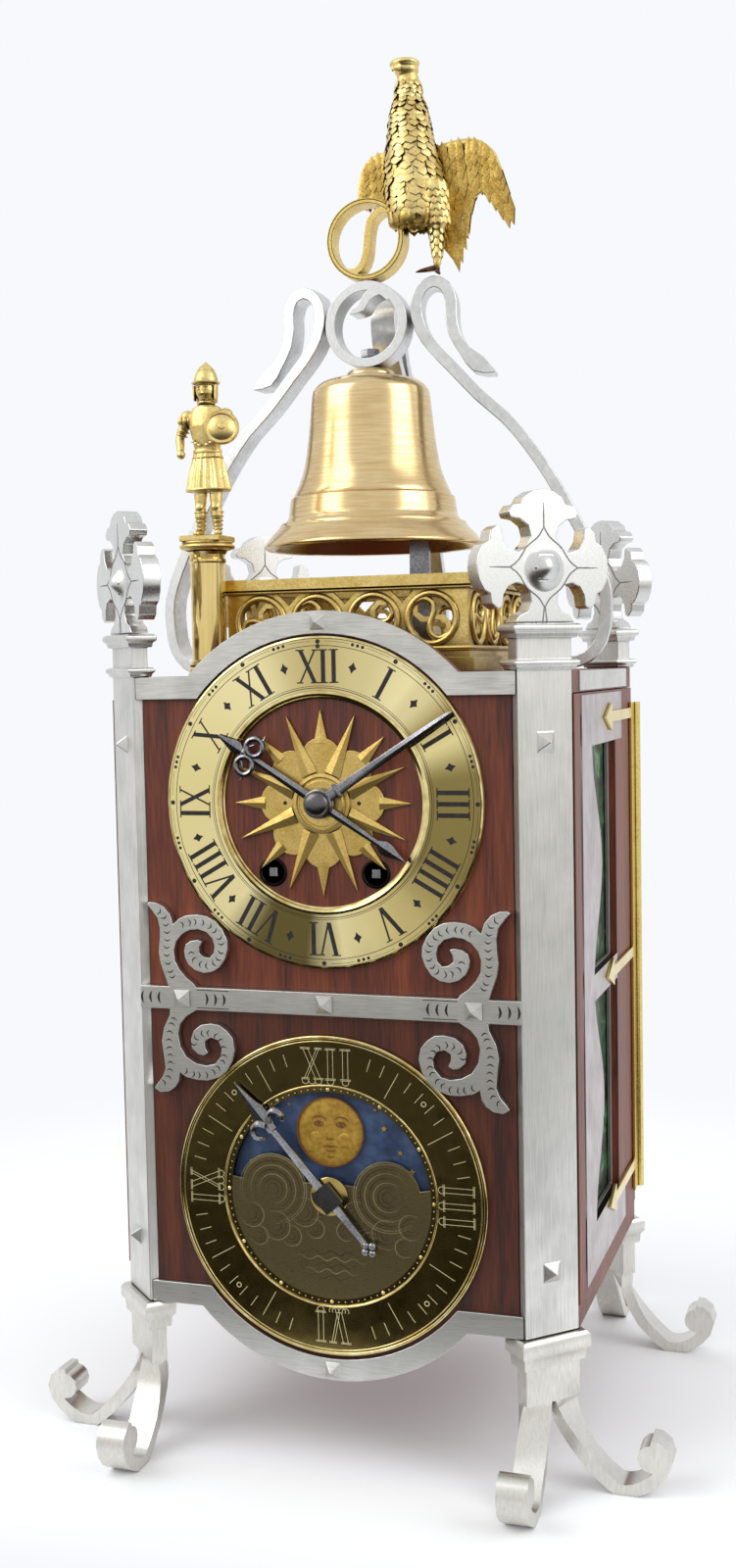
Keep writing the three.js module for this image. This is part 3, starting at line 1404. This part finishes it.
// Wheels with trapezoid teeth; one tooth is centred on the given angle
function gearOutline(teeth, centreDistance, matingTeeth, angle) {
  const module = (2 * centreDistance) / (teeth + matingTeeth);
  const pitchRadius = (module * teeth) / 2;
  const tip = pitchRadius + toothShares.above * module;
  const root = pitchRadius - toothShares.below * module;
  const toothPitch = (2 * Math.PI) / teeth;
  const points = [];
  for (let i = 0; i < teeth; i += 1) {
    const middle = angle + i * toothPitch;
    [
      [root, -toothShares.rootWidth], [tip, -toothShares.tipWidth], [tip, toothShares.tipWidth],
      [root, toothShares.rootWidth],
    ]
      .forEach(([radius, share]) => {
        const place = middle + (share * toothPitch) / 2;
        points.push(point(radius * Math.cos(place), radius * Math.sin(place)));
      });
  }
  return points;
}

const lifted = (points, x, level) => points.map((p) => point(p.x + x, p.y + level));

function makeCannonPinion() {
  const pinion = frontSheet(
    sheet(lifted(
      gearOutline(wheels.cannonTeeth, wheels.pitch, wheels.minuteTeeth, wheelSide),
      0,
      mainDialLevel,
    )),
    wheelRear,
    wheels.thickness,
  );
  const shaft = crossRod(
    arbor.radius, 0, mainDialLevel, minuteHandFront - gap - hands.nutHeight / 3,
    frontPlateY + movement.plateThickness, flats.shaft,
  );
  return join(pinion, shaft);
}

function makeMinuteWheel() {
  const facing = wheelSide + Math.PI;
  const wheelTurn = facing + Math.PI / wheels.minuteTeeth;
  const pinionTurn = facing + Math.PI / wheels.pinionTeeth;
  const bore = circle(wheels.stud + runningGap / 2, flats.small, wheelPlace.x, wheelPlace.y);
  const wheel = frontSheet(
    sheet(
      lifted(
        gearOutline(wheels.minuteTeeth, wheels.pitch, wheels.cannonTeeth, wheelTurn),
        wheelPlace.x,
        wheelPlace.y,
      ),
      [bore],
    ),
    wheelRear,
    wheels.thickness,
  );
  const pinion = frontSheet(
    sheet(
      lifted(
        gearOutline(wheels.pinionTeeth, wheels.pitch, wheels.hourTeeth, pinionTurn),
        wheelPlace.x,
        wheelPlace.y,
      ),
      [bore],
    ),
    wheelFront,
    wheelRear + wheels.thickness / 2 - wheelFront,
  );
  return join(wheel, pinion);
}

function makeHourWheel() {
  const bore = circle(arbor.pipeInner, flats.shaft, 0, mainDialLevel);
  const wheel = frontSheet(
    sheet(
      lifted(gearOutline(wheels.hourTeeth, wheels.pitch, wheels.pinionTeeth, wheelSide), 0, mainDialLevel),
      [bore],
    ),
    wheelFront,
    wheels.thickness,
  );
  const pipeFront = hourHandFront - gap;
  const pipe = frontSheet(
    sheet(circle(arbor.pipeOuter, flats.shaft, 0, mainDialLevel), [bore]),
    pipeFront,
    wheelFront + wheels.thickness / 2 - pipeFront,
  );
  return join(wheel, pipe);
}

function makePendulum() {
  const bobLevel = pendulum.level - pendulum.length;
  const eye = crossRod(
    3 * pendulum.rod,
    0,
    pendulum.level,
    pendulum.y - pendulum.rod,
    pendulum.y + pendulum.rod,
    flats.shaft,
  );
  const stem = rod(
    pendulum.rod,
    corner3(0, pendulum.y, bobLevel),
    corner3(0, pendulum.y, pendulum.level),
    flats.small,
  );
  const bob = ball(
    corner3(0, pendulum.y, bobLevel),
    pendulum.bobRadius,
    pendulum.bobHalf,
    pendulum.bobRadius,
    flats.column,
  );
  const bore = crossRod(
    pendulum.rod + runningGap, 0, pendulum.level, pendulum.y - cutOverrun, pendulum.y + cutOverrun,
    flats.small,
  );
  return cut(join(eye, stem, bob), bore);
}

function makeHammer() {
  const half = hammer.width / 2;
  const arm = frontSheet(
    sheet([
      point(hammer.x - half, hammer.pivotLevel - half),
      point(hammer.x + half, hammer.pivotLevel - half),
      point(hammer.x + half, hammer.pivotLevel + half),
      point(hammer.x + half * 0.8, hammer.headLevel),
      point(hammer.x - half * 0.8, hammer.headLevel),
      point(hammer.x - half, hammer.pivotLevel + half),
    ]),
    hammer.y,
    hammer.thickness,
  );
  const middleY = hammer.y + hammer.thickness / 2;
  const head = rod(
    hammer.headRadius,
    corner3(hammer.x - hammer.headLength / 2, middleY, hammer.headLevel),
    corner3(hammer.x + hammer.headLength / 2 + hammer.headRadius / 2, middleY, hammer.headLevel),
    flats.shaft,
  );
  const bore = crossRod(
    pendulum.rod + runningGap, hammer.x, hammer.pivotLevel, hammer.y - cutOverrun,
    hammer.y + hammer.thickness + cutOverrun, flats.small,
  );
  return cut(join(arm, head), bore);
}

addPart("movement_front_plate", makeFrontPlate(), "brass");
addPart("movement_back_plate", makeBackPlate(), "brass");
addPart("going_barrel", makeBarrel(1), "brass");
addPart("strike_barrel", makeBarrel(-1), "brass");
addPart("going_winding_arbor", makeWindingArbor(1), "steel");
addPart("strike_winding_arbor", makeWindingArbor(-1), "steel");
addPart("cannon_pinion", makeCannonPinion(), "steel");
addPart("minute_wheel", makeMinuteWheel(), "brass");
addPart("hour_wheel", makeHourWheel(), "brass");
addPart("pendulum", makePendulum(), "brass");
addPart("bell_hammer", makeHammer(), "steel");

export default clock;
